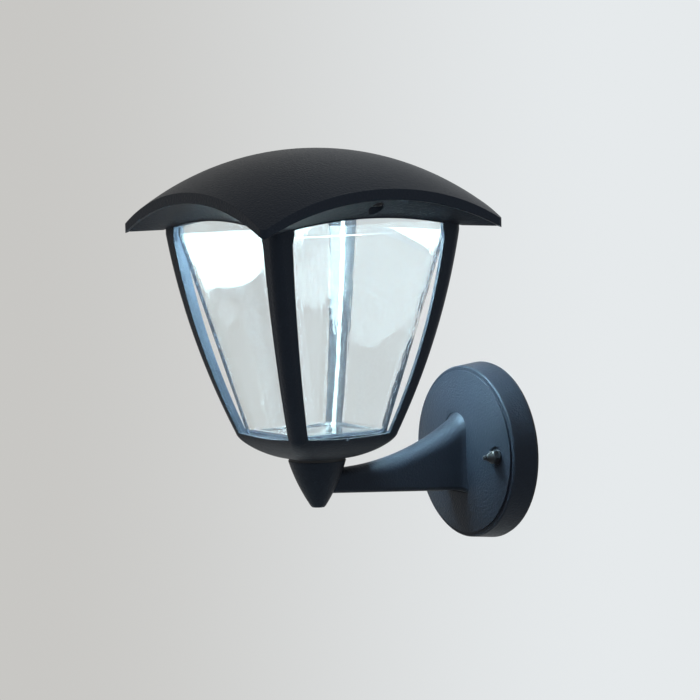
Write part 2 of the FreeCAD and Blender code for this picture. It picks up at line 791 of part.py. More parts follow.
def dc_leads():
    """Two leads from the driver's end face, over its ear and down through the tray to the board."""
    leads = []
    for end in dc_lead_points(tray_z - board_thickness / 2.0):
        start = V(driver_length / 2.0, end.y, driver_mid_z)
        leads.append(bent_tube([start, V(end.x, end.y, driver_mid_z), end], [dc_lead_turn], dc_lead_radius))
    return on_lantern_axis(Part.makeCompound(leads))


# ================================================================ base stack
def base_gasket():
    """Rubber ring between the lantern's dish and the cup."""
    return on_lantern_axis(tube(cup_top_radius - base_gasket_inset, nipple_radius + slip_gap,
                                V(0, 0, cup_top_z), V(0, 0, dish_bottom_z)))


def base_nipple():
    """Hollow threaded tube that ties the lantern to the cup and lets the lead through."""
    top_z = dish_floor_z + nipple_washer_thickness + locknut_height + nipple_proud
    return on_lantern_axis(tube(nipple_radius - thread_gap, nipple_bore_radius,
                                V(0, 0, cup_top_z - nipple_depth_in_cup), V(0, 0, top_z)))


def nipple_washer():
    """Steel washer under the locknut."""
    return on_lantern_axis(tube(nipple_washer_radius, nipple_radius + slip_gap, V(0, 0, dish_floor_z),
                                V(0, 0, dish_floor_z + nipple_washer_thickness)))


def nipple_locknut():
    """Thin hexagonal nut inside the dish."""
    low = V(0, 0, dish_floor_z + nipple_washer_thickness)
    nut = hexagon(locknut_flats, low, locknut_height, Z_AXIS)
    return on_lantern_axis(nut.cut(cylinder(nipple_radius, low, low + V(0, 0, locknut_height))))


# ================================================================ arm
def arm_section(y):
    """D-shaped section of the horn: flat flanks, a full round top and small lower corners.  Its top edge
    is one arc, level at the cup."""
    start = lantern_reach - cup_top_radius + arm_start_inset
    run = start - arm_seat_depth
    top_start = cup_top_z - arm_start_drop
    rise = arm_foot_rise - top_start
    radius = (run ** 2 + rise ** 2) / (2.0 * rise)
    along = min(1.0, (-y - arm_seat_depth) / (lantern_reach - arm_seat_depth))
    near = max(0.0, 1.0 - (-y - arm_seat_depth) / arm_flare_length)
    flare = arm_flare * near ** arm_flare_power
    top = top_start + radius - sqrt(radius ** 2 - max(0.0, start + y) ** 2) + flare
    bottom = arm_foot_bottom + (arm_start_bottom - arm_foot_bottom) * along - flare
    half = arm_foot_half_width + (arm_start_half_width - arm_foot_half_width) * along ** arm_taper + flare
    low = bottom + arm_bottom_round
    slant = arm_bottom_round * SLANT
    crown = half * SLANT
    inner = half - arm_bottom_round
    edges = [line(V(-inner, y, bottom), V(inner, y, bottom)),
             arc(V(inner, y, bottom), V(half - slant, y, bottom + slant), V(half, y, low)),
             line(V(half, y, low), V(half, y, top - half)),
             arc(V(half, y, top - half), V(half - crown, y, top - crown), V(0, y, top)),
             arc(V(0, y, top), V(crown - half, y, top - crown), V(-half, y, top - half)),
             line(V(-half, y, top - half), V(-half, y, low)),
             arc(V(-half, y, low), V(slant - half, y, bottom + slant), V(-inner, y, bottom))]
    return Part.Wire(edges)


def arm_stretch(start, end, spans):
    """Smooth stretch of the horn between two distances from the arm's seat."""
    places = [-arm_seat_depth - start - (end - start) * k / spans for k in range(spans + 1)]
    return Part.makeLoft([arm_section(y) for y in places], True, False)


def cup_solid():
    """Outside of the cup: a curved cone with a blunt tip."""
    top = V(cup_top_radius, 0, cup_top_z)
    waist = V(cup_waist_radius, 0, cup_top_z - cup_waist_drop)
    tip = V(cup_tip_radius, 0, cup_top_z - cup_tip_drop)
    low = V(cup_tip_radius - cup_tip_height, 0, tip.z - cup_tip_height)
    outline = [arc(top, waist, tip)] + chain([tip, low, V(0, 0, low.z), V(0, 0, top.z), top])
    return on_lantern_axis(revolve(outline, Z_AXIS))


def arm_screw_points(y):
    """The places of the two arm screws at a depth from the wall."""
    return [V(0, y, -arm_screw_spacing / 2.0), V(0, y, arm_screw_spacing / 2.0)]


def arm():
    """One casting: the cup under the lantern and the horn that carries it."""
    end = lantern_reach - arm_seat_depth - cup_waist_radius / 2.0
    casting = fuse([arm_stretch(0.0, arm_flare_length, 3), arm_stretch(arm_flare_length, end, 6), cup_solid()])
    cup_top = lantern_axis + V(0, 0, cup_top_z)
    channel_end = lantern_axis + V(0, 0, arm_channel_end_z)
    cutters = [cylinder(nipple_radius, cup_top - V(0, 0, cup_bore_depth), cup_top),
               cylinder(arm_channel_radius, V(0, -arm_seat_depth, 0), channel_end),
               cylinder(arm_channel_radius, V(0, -arm_seat_depth - cut_margin, 0), V(0, -arm_seat_depth, 0))]
    cutters += [cylinder(arm_screw_radius, point, point - V(0, arm_screw_depth, 0))
                for point in arm_screw_points(-arm_seat_depth)]
    return cut_all(casting, cutters)


def arm_screws():
    """Two screws from inside the wall plate into the arm's foot."""
    length = arm_seat_depth - plate_pad_depth + arm_screw_depth - pilot_gap
    screws = [pan_screw(point, Y_AXIS * -1.0, arm_screw_radius - thread_gap, length, arm_screw_head_radius,
                        arm_screw_head_height) for point in arm_screw_points(-plate_pad_depth)]
    return Part.makeCompound(screws)


# ================================================================ wall plate
def plate_face_depth(radius):
    """Distance of the plate's domed face from the wall, at a radius."""
    dome = (plate_step_radius ** 2 + plate_dome_rise ** 2) / (2.0 * plate_dome_rise)
    return plate_depth + plate_step + plate_dome_rise - dome + sqrt(dome ** 2 - radius ** 2)


def plate_body(wall):
    """Solid of revolution of the plate, drawn inside its outer face by a wall, from the wall gasket out."""
    back = -wall_gasket_thickness
    edge = plate_depth - wall
    side = plate_front_radius - wall
    step = plate_step_radius - wall
    half = step / 2.0
    rim = [V(0, back, 0), V(plate_back_radius - wall, back, 0), V(side, plate_edge_round - edge, 0),
           V(side - plate_edge_round, -edge, 0), V(step, -edge, 0), V(step, -edge - plate_step, 0)]
    crown = V(0, wall - plate_face_depth(0.0), 0)
    outline = chain(rim)
    outline += [arc(rim[-1], V(half, wall - plate_face_depth(half), 0), crown), line(crown, rim[0])]
    return revolve(outline, Y_AXIS)


def block_post_points(y):
    """The places of the terminal block's two posts."""
    return [V(-block_pole_pitch / 2.0, y, block_z), V(block_pole_pitch / 2.0, y, block_z)]


def block_back_y():
    """Level of the terminal block's face that sits on the plate's posts."""
    return -plate_face_depth(block_z) + plate_wall + block_post_height


def earth_face_y():
    """Level of the earth boss's face inside the plate."""
    return -plate_face_depth(sqrt(earth_x ** 2 + earth_z ** 2)) + plate_wall + earth_boss_height


def wall_plate():
    """Round cast plate: drafted side, stepped rim, domed face with a seat for the arm."""
    body = plate_body(0.0)
    crown_y = -plate_face_depth(0.0)
    posts = [cylinder(plate_pad_radius, V(0, -plate_pad_depth, 0), V(0, crown_y, 0)),
             cylinder(earth_boss_radius, V(earth_x, earth_face_y(), earth_z), V(earth_x, crown_y, earth_z))]
    posts += [cylinder(block_post_radius, point, V(point.x, crown_y, point.z))
              for point in block_post_points(block_back_y() - joint_gap)]
    plate = fuse([body.cut(plate_body(plate_wall))] + [post.common(body) for post in posts])
    through = V(0, 2.0 * crown_y, 0)
    seat = Part.Face(arm_section(-arm_seat_depth).makeOffset2D(joint_gap))
    cutters = [seat.extrude(through), cylinder(arm_channel_radius + slip_gap, ORIGIN, through)]
    for x in (-stud_x, stud_x):
        cutters.append(cylinder(stud_radius + stud_hole_gap, V(x, 0, 0), V(x, 0, 0) + through))
        cutters.append(cylinder(spotface_radius, V(x, -spotface_depth, 0), V(x, 0, 0) + through))
    cutters += [cylinder(arm_screw_radius + slip_gap, point, point + through)
                for point in arm_screw_points(0.0)]
    cutters += [cylinder(block_fixing_radius, point, point - V(0, block_fixing_depth + pilot_gap, 0))
                for point in block_post_points(block_back_y() - joint_gap)]
    earth = V(earth_x, earth_face_y(), earth_z)
    cutters.append(cylinder(earth_screw_radius, earth, earth - V(0, earth_screw_depth, 0)))
    return cut_all(plate, cutters).removeSplitter()


def wall_gasket():
    """Foam ring between the plate's back edge and the wall."""
    outer = plate_back_radius - wall_gasket_inset
    return tube(outer, outer - wall_gasket_width, V(0, -wall_gasket_thickness, 0), ORIGIN)


# ================================================================ bracket, studs, nuts
def wall_bracket():
    """Steel strip with slots for the wall screws and raised ends for the studs."""
    half = bracket_flat_half
    bend = half + bracket_bend_run
    rear = [(half, 0.0), (bend, -bracket_offset), (bracket_half_length, -bracket_offset)]
    front_y = -bracket_offset - bracket_thickness
    front = [(bracket_half_length, front_y), (bend - bracket_bend_shift, front_y),
             (half - bracket_bend_shift, -bracket_thickness)]
    right = rear + front
    outline = [V(x, y, -bracket_width / 2.0) for x, y in right]
    outline += [V(-x, y, -bracket_width / 2.0) for x, y in reversed(right)]
    strip = Part.Face(Part.makePolygon(outline + outline[:1])).extrude(V(0, 0, bracket_width))
    ends = [edge for edge in strip.Edges if abs(abs(edge.CenterOfMass.x) - bracket_half_length) < 1e-6
            and abs(abs(edge.CenterOfMass.z) - bracket_width / 2.0) < 1e-6]
    strip = strip.makeFillet(bracket_corner_radius, ends)
    through = V(0, -bracket_thickness, 0)
    reach = wall_slot_length / 2.0 - wall_slot_radius
    cutters = [cylinder(grommet_hole_radius, ORIGIN, through)]
    for side in (-1, 1):
        centre = V(side * wall_slot_spacing / 2.0, 0, 0)
        cutters.append(block(centre + V(-reach, -bracket_thickness, -wall_slot_radius),
                             centre + V(reach, 0, wall_slot_radius)))
        for end in (V(-reach, 0, 0), V(reach, 0, 0)):
            cutters.append(cylinder(wall_slot_radius, centre + end, centre + end + through))
        cutters.append(cylinder(stud_radius, V(side * stud_x, 0, 0), V(side * stud_x, front_y, 0)))
    return cut_all(strip, cutters)


def bracket_screws():
    """Two machine screws, heads behind the bracket, whose threaded ends are the studs for the nuts."""
    length = spotface_depth + washer_thickness + stud_in_nut - bracket_offset
    screws = [pan_screw(V(x, -bracket_offset, 0), Y_AXIS * -1.0, stud_radius - thread_gap, length,
                        stud_head_radius, stud_head_height) for x in (-stud_x, stud_x)]
    return Part.makeCompound(screws)


def nut_washer(side):
    """Flat washer under a cap nut."""
    face = V(side * stud_x, -spotface_depth, 0)
    return tube(washer_radius, stud_radius + washer_bore_gap, face, face - V(0, washer_thickness, 0))


def cap_nut(side):
    """Cap nut: chamfered hexagon, cone and a small ball tip, with a blind bore from behind."""
    base = V(side * stud_x, -spotface_depth - washer_thickness, 0)
    out = Y_AXIS * -1.0
    shoulder = base + out * nut_hex_height
    corner = nut_flats / sqrt(3.0)
    flat = nut_flats / 2.0
    chamfer = Part.makeCone(corner + nut_hex_height - nut_chamfer, flat - nut_chamfer, nut_hex_height, base,
                            out)
    chamfer = chamfer.common(cylinder(corner + cut_margin, base, shoulder))
    hexagonal = hexagon(nut_flats, base, nut_hex_height, out).common(chamfer)
    cone = Part.makeCone(flat - nut_chamfer, nut_cone_top_radius, nut_cone_height, shoulder, out)
    tip = shoulder + out * (nut_cone_height + nut_tip_radius - nut_tip_sink)
    nut = fuse([hexagonal, cone, Part.makeSphere(nut_tip_radius, tip)])
    return nut.cut(cylinder(stud_radius, base, base + out * (stud_in_nut + nut_bore_clearance)))


def cable_grommet():
    """Rubber grommet in the bracket, for the supply cable that comes out of the wall."""
    front = V(0, -bracket_thickness, 0)
    end = front - V(0, grommet_flange_thickness, 0)
    neck = cylinder(grommet_hole_radius - thread_gap, ORIGIN, front)
    flange = cylinder(grommet_flange_radius, front, end)
    return fuse([neck, flange]).cut(cylinder(grommet_bore_radius, ORIGIN, end))


# ================================================================ terminals and earth
def pole_places():
    """The x of each pole of the terminal block."""
    return [block_pole_pitch * (k - (block_poles - 1) / 2.0) for k in range(block_poles)]


def pole_y():
    """Level of the poles' centres."""
    return block_back_y() + block_height / 2.0


def clamp_points(y):
    """The places of the clamping screws, two for each pole."""
    offset = block_width / 4.0
    return [V(x, y, block_z + side * offset) for x in pole_places() for side in (-1, 1)]


def terminal_block():
    """Three-pole screw connector body."""
    back = block_back_y()
    front = back + block_height
    body = block(V(-block_length / 2.0, back, block_z - block_width / 2.0),
                 V(block_length / 2.0, front, block_z + block_width / 2.0))
    low_z = block_z - block_width / 2.0
    cutters = [cylinder(block_pole_bore_radius, V(x, pole_y(), low_z), V(x, pole_y(), low_z + block_width))
               for x in pole_places()]
    cutters += [cylinder(block_screw_radius + block_screw_well_gap, point, V(point.x, front, point.z))
                for point in clamp_points(pole_y())]
    cutters += [cylinder(block_fixing_radius + block_fixing_hole_gap, point, V(point.x, front, point.z))
                for point in block_post_points(back)]
    return cut_all(body, cutters)


def terminal_inserts():
    """Brass tubes in the block's poles."""
    reach = V(0, 0, block_width / 2.0 - block_insert_recess)
    inserts = []
    for x in pole_places():
        centre = V(x, pole_y(), block_z)
        insert = tube(block_pole_bore_radius - thread_gap, block_insert_radius, centre - reach, centre + reach)
        taps = [cylinder(block_screw_radius, point, point + V(0, block_pole_bore_radius, 0))
                for point in clamp_points(pole_y()) if abs(point.x - x) < 1e-6]
        inserts.append(cut_all(insert, taps))
    return Part.makeCompound(inserts)


def terminal_screws():
    """Clamping screws with a slot for the screwdriver."""
    front = block_back_y() + block_height - block_screw_sink
    screws = []
    for point in clamp_points(pole_y() + block_screw_slot):
        screw = cylinder(block_screw_radius - thread_gap, point, V(point.x, front, point.z))
        slot = block(V(point.x - block_screw_slot / 2.0, front - block_screw_slot,
                       point.z - block_screw_radius),
                     V(point.x + block_screw_slot / 2.0, front, point.z + block_screw_radius))
        screws.append(screw.cut(slot))
    return Part.makeCompound(screws)


def block_screws():
    """Two small screws that hold the block to the plate."""
    screws = [pan_screw(point, Y_AXIS * -1.0, block_fixing_radius - thread_gap,
                        block_height + block_fixing_depth, block_fixing_head_radius,
                        block_fixing_head_height)
              for point in block_post_points(block_back_y() + block_height)]
    return Part.makeCompound(screws)


def earth_washer():
    """Washer under the earth screw's head."""
    face = V(earth_x, earth_face_y(), earth_z)
    return tube(earth_washer_radius, earth_screw_radius + earth_washer_bore_gap, face,
                face + V(0, earth_washer_thickness, 0))


def earth_screw():
    """Brass earth screw in the wall plate."""
    seat = V(earth_x, earth_face_y() + earth_washer_thickness, earth_z)
    return pan_screw(seat, Y_AXIS * -1.0, earth_screw_radius - thread_gap, earth_screw_depth,
                     earth_screw_head_radius, earth_screw_head_height)


def earth_lead():
    """Earth lead from the block's outer pole to the rim of the earth washer."""
    low_z = block_z - block_width / 2.0
    x = pole_places()[-1]
    end = V(earth_x + earth_washer_radius + earth_lead_radius, earth_face_y() + earth_lead_radius, earth_z)
    points = [V(x, pole_y(), low_z + block_insert_recess), V(x, pole_y(), low_z - earth_lead_drop),
              V(end.x, end.y + earth_lead_back, earth_lead_bend_z), end]
    return bent_tube(points, [earth_lead_top_turn, earth_lead_bend_turn], earth_lead_radius)


# ================================================================ supply lead
def rib_lead_point(z, shift):
    """Centre of the lead in the inner corner of the back rib, at a level; shift moves it inwards."""
    spare = frame_inner_corner_radius - lead_radius - lead_clearance
    half = rib_half(z) - frame_wall - frame_inner_corner_radius + spare / sqrt(2.0) - shift
    return lantern_axis + V(-half, half, z)


def supply_lead():
    """Sleeved pair from the terminals, through the arm, the cup, the nipple and the back rib, to the
    driver."""
    dish_z = diffuser_bottom_z - lead_radius - lead_clearance
    corner = rib_lead_point(dish_z + lead_radius, lead_corner_shift)
    corner.z = dish_z
    shoulder = rib_lead_point(shoulder_z, 0.0)
    roof_z = tray_top_z + 2.0 * lead_radius - lead_clearance
    driver_x = -driver_length / 2.0
    points = [V(0, pole_y(), lead_sleeve_top), V(0, pole_y(), 0), lantern_axis + V(0, 0, arm_channel_end_z),
              lantern_axis + V(0, 0, dish_z), corner, rib_lead_point(rail_z + rib_height / 3.0, 0.0),
              rib_lead_point(rail_z + rib_height * 2.0 / 3.0, 0.0), shoulder,
              V(shoulder.x, shoulder.y, roof_z),
              lantern_axis + V(driver_x - lead_driver_reach, lead_driver_y, driver_mid_z),
              lantern_axis + V(driver_x, lead_driver_y, driver_mid_z)]
    turns = [lead_plate_turn, lead_cup_turn, lead_dish_turn, lead_corner_turn, lead_rib_turn, lead_rib_turn,
             lead_shoulder_turn, lead_roof_turn, lead_driver_turn]
    return bent_tube(points, turns, lead_radius)


def supply_cores():
    """The two cores, from the end of the sleeve to the first two poles."""
    low_z = block_z - block_width / 2.0
    cores = []
    for side, x in zip((-1, 1), pole_places()):
        start = V(side * core_spacing / 2.0, pole_y(), lead_sleeve_top)
        points = [start, start + V(0, 0, core_turn), V(x, pole_y(), low_z - core_turn),
                  V(x, pole_y(), low_z + block_insert_recess)]
        cores.append(bent_tube(points, [core_turn, core_turn], core_radius))
    return Part.makeCompound(cores)


# ================================================================ all pieces
def pieces():
    """Every piece by its name."""
    return {
        "roof_cap": roof_cap(),
        "roof_screws": roof_screws(),
        "lantern_frame": lantern_frame(),
        "clear_diffuser": clear_diffuser(),
        "diffuser_seal": diffuser_seal(),
        "lamp_tray": lamp_tray(),
        "tray_screws": tray_screws(),
        "led_board": led_board(),
        "led_packages": led_packages(),
        "opal_cover": opal_cover(),
        "led_driver": led_driver(),
        "driver_screws": driver_screws(),
        "dc_leads": dc_leads(),
        "base_gasket": base_gasket(),
        "base_nipple": base_nipple(),
        "nipple_washer": nipple_washer(),
        "nipple_locknut": nipple_locknut(),
        "arm": arm(),
        "arm_screws": arm_screws(),
        "wall_plate": wall_plate(),
        "wall_gasket": wall_gasket(),
        "wall_bracket": wall_bracket(),
        "bracket_screws": bracket_screws(),
        "left_nut_washer": nut_washer(-1),
        "right_nut_washer": nut_washer(1),
        "left_cap_nut": cap_nut(-1),
        "right_cap_nut": cap_nut(1),
        "cable_grommet": cable_grommet(),
        "terminal_block": terminal_block(),
        "terminal_inserts": terminal_inserts(),
        "terminal_screws": terminal_screws(),
        "block_screws": block_screws(),
        "earth_washer": earth_washer(),
        "earth_screw": earth_screw(),
        "earth_lead": earth_lead(),
        "supply_lead": supply_lead(),
        "supply_cores": supply_cores(),
    }


os.makedirs("parts", exist_ok=True)
for name, shape in pieces().items():
    shape.exportStep("parts/%s.step" % name)
    bounds = shape.BoundBox
    print("%-17s solids %2d  valid %s  volume %8.0f mm3  x %.1f..%.1f  y %.1f..%.1f  z %.1f..%.1f"
          % (name, len(shape.Solids), shape.isValid(), shape.Volume, bounds.XMin, bounds.XMax,
             bounds.YMin, bounds.YMax, bounds.ZMin, bounds.ZMax))
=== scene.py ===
from math import cos, radians, sin

import bpy
from mathutils import Matrix, Vector


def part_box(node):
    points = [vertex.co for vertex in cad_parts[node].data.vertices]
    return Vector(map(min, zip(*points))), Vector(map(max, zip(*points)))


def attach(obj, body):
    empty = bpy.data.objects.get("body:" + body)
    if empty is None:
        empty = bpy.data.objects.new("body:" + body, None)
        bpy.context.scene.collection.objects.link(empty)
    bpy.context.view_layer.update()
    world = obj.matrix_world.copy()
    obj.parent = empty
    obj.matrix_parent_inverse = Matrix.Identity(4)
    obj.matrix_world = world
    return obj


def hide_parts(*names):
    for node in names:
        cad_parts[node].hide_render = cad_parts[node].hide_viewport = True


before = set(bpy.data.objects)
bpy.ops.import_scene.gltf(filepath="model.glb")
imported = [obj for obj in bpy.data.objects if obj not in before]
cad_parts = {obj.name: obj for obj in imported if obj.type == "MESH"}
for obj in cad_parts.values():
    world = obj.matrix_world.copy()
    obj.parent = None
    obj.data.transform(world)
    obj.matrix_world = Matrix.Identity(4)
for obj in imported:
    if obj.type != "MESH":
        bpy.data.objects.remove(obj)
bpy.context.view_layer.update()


# Lantern frame, roof cap, arm and wall plate: aluminium die castings, blasted and sprayed with
# a near-black, blue-toned polyester powder that melts into a fine-textured satin coat.
# The frame's collar takes the roof from above, the cup under it takes the frame's weight.
def linear(hex_colour, alpha=1.0):
    """The linear colour of an sRGB hex value such as '#20242C'."""
    parts = [int(hex_colour[i:i + 2], 16) / 255.0 for i in (1, 3, 5)]
    return [p / 12.92 if p <= 0.04045 else ((p + 0.055) / 1.055) ** 2.4 for p in parts] + [alpha]


def add(tree, kind, settings=None, links=None):
    """Adds a node, sets its options and sockets by name or number, and links its inputs."""
    made = tree.nodes.new(kind)
    for name, value in (settings or {}).items():
        if isinstance(name, int) or name in made.inputs:
            made.inputs[name].default_value = value
        else:
            setattr(made, name, value)
    for name, source in (links or {}).items():
        tree.links.new(source, made.inputs[name])
    return made


def new_finish(name, **shader):
    """A new material with its shader set, and the places that its patterns are drawn from."""
    material = bpy.data.materials.new(name)
    material.use_nodes = True
    tree = material.node_tree
    surface = tree.nodes["Principled BSDF"]
    for socket, value in shader.items():
        surface.inputs[socket.replace("_", " ")].default_value = value
    places = add(tree, "ShaderNodeTexCoord").outputs["Object"]
    return material, tree, surface, places


def dress(material, *nodes):
    """Gives CAD nodes their finish."""
    for name in nodes:
        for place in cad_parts[name].material_slots:
            place.material = material


def noise(tree, places, size_mm, detail):
    """The share, 0 to 1, of a noise pattern whose lumps are about that wide."""
    return add(tree, "ShaderNodeTexNoise", {"Scale": 1000.0 / size_mm, "Detail": detail},
               {"Vector": places}).outputs["Fac"]


def tones(tree, socket, dark, light, share):
    """Colours a socket between two tones by a pattern's share."""
    blend = add(tree, "ShaderNodeMix", {"data_type": "RGBA", 6: linear(dark), 7: linear(light)},
                {0: share})
    tree.links.new(blend.outputs[2], socket)


def gloss(tree, surface, low, high, share, share_range=(0.0, 1.0)):
    """Spreads the roughness from low to high by a pattern's share."""
    spread = add(tree, "ShaderNodeMapRange",
                 {"From Min": share_range[0], "From Max": share_range[1], "To Min": low, "To Max": high},
                 {"Value": share})
    tree.links.new(spread.outputs["Result"], surface.inputs["Roughness"])


def relief(tree, surface, strength, depth_mm, height, under=None):
    """Raises the surface by a pattern's share, on top of another normal where one is given."""
    bump = add(tree, "ShaderNodeBump", {"Strength": strength, "Distance": depth_mm / 1000.0},
               {"Height": height, **({"Normal": under} if under else {})})
    tree.links.new(bump.outputs["Normal"], surface.inputs["Normal"])
    return bump.outputs["Normal"]


# The eye sees a matt black with a fine leather-like grain, about 1 mm a grain and a tenth of a
# millimetre deep, that breaks a highlight into specks, and a soft light line along each edge,
# where the powder rounds it to about half a millimetre.
black_coat, tree, surface, places = new_finish(
    "fine_textured_black_powder_coat", Metallic=0.0, Specular_IOR_Level=0.18,
    Specular_Tint=linear("#C9E2FF"))
coat_grain_mm, coat_cloud_mm, coat_grain_depth_mm, coat_edge_mm = 1.3, 45.0, 0.4, 0.6
grain = noise(tree, places, size_mm=coat_grain_mm, detail=2.0)
clouds = noise(tree, places, size_mm=coat_cloud_mm, detail=3.0)
mixed = add(tree, "ShaderNodeMix", {"data_type": "FLOAT", 0: 0.35}, {2: grain, 3: clouds})
tones(tree, surface.inputs["Base Color"], "#0B0D12", "#161A22", mixed.outputs[0])
gloss(tree, surface, low=0.4, high=0.52, share=mixed.outputs[0], share_range=(0.3, 0.7))
edges = add(tree, "ShaderNodeBevel", {"samples": 4, "Radius": coat_edge_mm / 1000.0})
relief(tree, surface, strength=0.7, depth_mm=coat_grain_depth_mm, height=grain,
       under=edges.outputs["Normal"])
dress(black_coat, "lantern_frame", "roof_cap", "arm", "wall_plate")


# Clear diffuser: one bucket of clear polycarbonate, injection moulded and 2.2 mm thick, whose lip
# rests on the frame's collar inside the roof. Its silicone seal lies on the lip.
# Polycarbonate bends light more than glass does, and a moulded pane is slightly wavy: what is
# seen through it or mirrored in it wobbles. Light for other surfaces passes it unbent.
clear_plastic, tree, surface, places = new_finish(
    "clear_moulded_polycarbonate", Base_Color=linear("#F6FAFB"), Roughness=0.015, IOR=1.585,
    Transmission_Weight=1.0)
pane_wave_mm, pane_wave_depth_mm = 26.0, 0.5
waves = noise(tree, places, size_mm=pane_wave_mm, detail=1.0)
ripple = relief(tree, surface, strength=0.22, depth_mm=pane_wave_depth_mm, height=waves)
# In the corners, where the flow of the melt turns, long streaks run up the moulding, 3 mm wide.
# They start at 0.62 of the half width of a side, which grows from the lantern's foot to its
# shoulder.
streak_mm, streak_length_mm, streak_depth_mm = 3.0, 50.0, 0.6
lantern_reach, foot_level, shoulder_level = 0.128, 0.021, 0.1445
foot_half, shoulder_half, streaks_begin, streaks_full = 0.0381, 0.0671, 0.62, 0.8
upright = add(tree, "ShaderNodeMapping",
              {"Location": (0.0, lantern_reach, 0.0)}, {"Vector": places})
across = add(tree, "ShaderNodeSeparateXYZ", None, {0: upright.outputs[0]})
from_middle = [add(tree, "ShaderNodeMath", {"operation": "ABSOLUTE"}, {0: across.outputs[axis]})
               for axis in ("X", "Y")]
nearer = add(tree, "ShaderNodeMath", {"operation": "MINIMUM"},
             {0: from_middle[0].outputs[0], 1: from_middle[1].outputs[0]})
half_width = add(tree, "ShaderNodeMapRange",
                 {"From Min": foot_level, "From Max": shoulder_level,
                  "To Min": foot_half, "To Max": shoulder_half},
                 {"Value": across.outputs["Z"]})
part_way = add(tree, "ShaderNodeMath", {"operation": "DIVIDE"},
               {0: nearer.outputs[0], 1: half_width.outputs["Result"]})
corner = add(tree, "ShaderNodeMapRange", {"From Min": streaks_begin, "From Max": streaks_full},
             {"Value": part_way.outputs[0]})
drawn = add(tree, "ShaderNodeMapping",
            {"Scale": (1000.0 / streak_mm, 1000.0 / streak_mm, 1000.0 / streak_length_mm)},
            {"Vector": places})
streaks = add(tree, "ShaderNodeTexNoise", {"Scale": 1.0, "Detail": 2.0},
              {"Vector": drawn.outputs[0]})
corner_streaks = add(tree, "ShaderNodeMath", {"operation": "MULTIPLY"},
                     {0: streaks.outputs["Fac"], 1: corner.outputs["Result"]})
relief(tree, surface, strength=0.6, depth_mm=streak_depth_mm, height=corner_streaks.outputs[0],
       under=ripple)
ray = add(tree, "ShaderNodeLightPath")
passing = add(tree, "ShaderNodeMath", {"operation": "MAXIMUM"},
              {0: ray.outputs["Is Shadow Ray"], 1: ray.outputs["Is Diffuse Ray"]})
unbent = add(tree, "ShaderNodeBsdfTransparent", {"Color": linear("#EEF3F4")})
either = add(tree, "ShaderNodeMixShader", None,
             {0: passing.outputs[0], 1: surface.outputs[0], 2: unbent.outputs[0]})
tree.links.new(either.outputs[0], tree.nodes["Material Output"].inputs["Surface"])
dress(clear_plastic, "clear_diffuser")

# Silicone cut from sheet: milky, soft-looking, with a faint cloudiness.
silicone, tree, surface, places = new_finish(
    "translucent_silicone", Roughness=0.55, IOR=1.41, Subsurface_Weight=0.3, Subsurface_Scale=0.002)
clouds = noise(tree, places, size_mm=6.0, detail=4.0)
tones(tree, surface.inputs["Base Color"], "#C4C8CA", "#DADDDE", clouds)
dress(silicone, "diffuser_seal")


# Lamp tray: a plate punched from mill-finish aluminium sheet, held by four screws in bosses of
# the collar. It carries the LED board under it and the driver on it.
# Rolled sheet shows straight, fine rolling lines one way and a soft, streaky gloss.
rolled_sheet, tree, surface, places = new_finish("mill_finish_aluminium_sheet", Metallic=1.0)
rolling_line_mm, rolling_stretch_mm = 0.4, 1000.0 / 12.0
along = add(tree, "ShaderNodeMapping",
            {"Scale": (1000.0 / rolling_line_mm, 1000.0 / rolling_stretch_mm,
                       1000.0 / rolling_stretch_mm)},
            {"Vector": places})
lines = add(tree, "ShaderNodeTexNoise", {"Scale": 1.0, "Detail": 3.0}, {"Vector": along.outputs[0]})
tones(tree, surface.inputs["Base Color"], "#C6C9CC", "#E2E4E6", lines.outputs["Fac"])
gloss(tree, surface, low=0.28, high=0.45, share=lines.outputs["Fac"])
relief(tree, surface, strength=0.2, depth_mm=0.05, height=lines.outputs["Fac"])
dress(rolled_sheet, "lamp_tray")


# LED board: an aluminium-core circuit board under a white solder mask, with 36 surface-mount
# LED packages soldered to it in six rows of six: a white moulded housing round a yellow
# phosphor face.
board_mask, tree, surface, places = new_finish("white_solder_mask", Roughness=0.32, IOR=1.5)
clouds = noise(tree, places, size_mm=3.0, detail=3.0)
tones(tree, surface.inputs["Base Color"], "#E4E6E4", "#F0F1EF", clouds)
dress(board_mask, "led_board")

led_array = bpy.data.node_groups.new("led_array", "GeometryNodeTree")
for name, kind in (("Rows", "NodeSocketInt"), ("Pitch", "NodeSocketFloat"),
                   ("Size", "NodeSocketVector"), ("Middle", "NodeSocketVector"),
                   ("Finish", "NodeSocketMaterial")):
    led_array.interface.new_socket(name, in_out="INPUT", socket_type=kind)
led_array.interface.new_socket("Geometry", in_out="OUTPUT", socket_type="NodeSocketGeometry")
given = add(led_array, "NodeGroupInput").outputs
gaps = add(led_array, "ShaderNodeMath", {"operation": "SUBTRACT", 1: 1.0}, {0: given["Rows"]})
span = add(led_array, "ShaderNodeMath", {"operation": "MULTIPLY"},
           {0: gaps.outputs[0], 1: given["Pitch"]})
spots = add(led_array, "GeometryNodeMeshGrid", None,
            {"Size X": span.outputs[0], "Size Y": span.outputs[0],
             "Vertices X": given["Rows"], "Vertices Y": given["Rows"]})
package = add(led_array, "GeometryNodeMeshCube", None, {"Size": given["Size"]})
soldered = add(led_array, "GeometryNodeInstanceOnPoints", None,
               {"Points": spots.outputs["Mesh"], "Instance": package.outputs["Mesh"]})
placed = add(led_array, "GeometryNodeTransform", None,
             {"Geometry": soldered.outputs[0], "Translation": given["Middle"]})
single = add(led_array, "GeometryNodeRealizeInstances", None, {0: placed.outputs[0]})
painted = add(led_array, "GeometryNodeSetMaterial", None,
              {"Geometry": single.outputs[0], "Material": given["Finish"]})
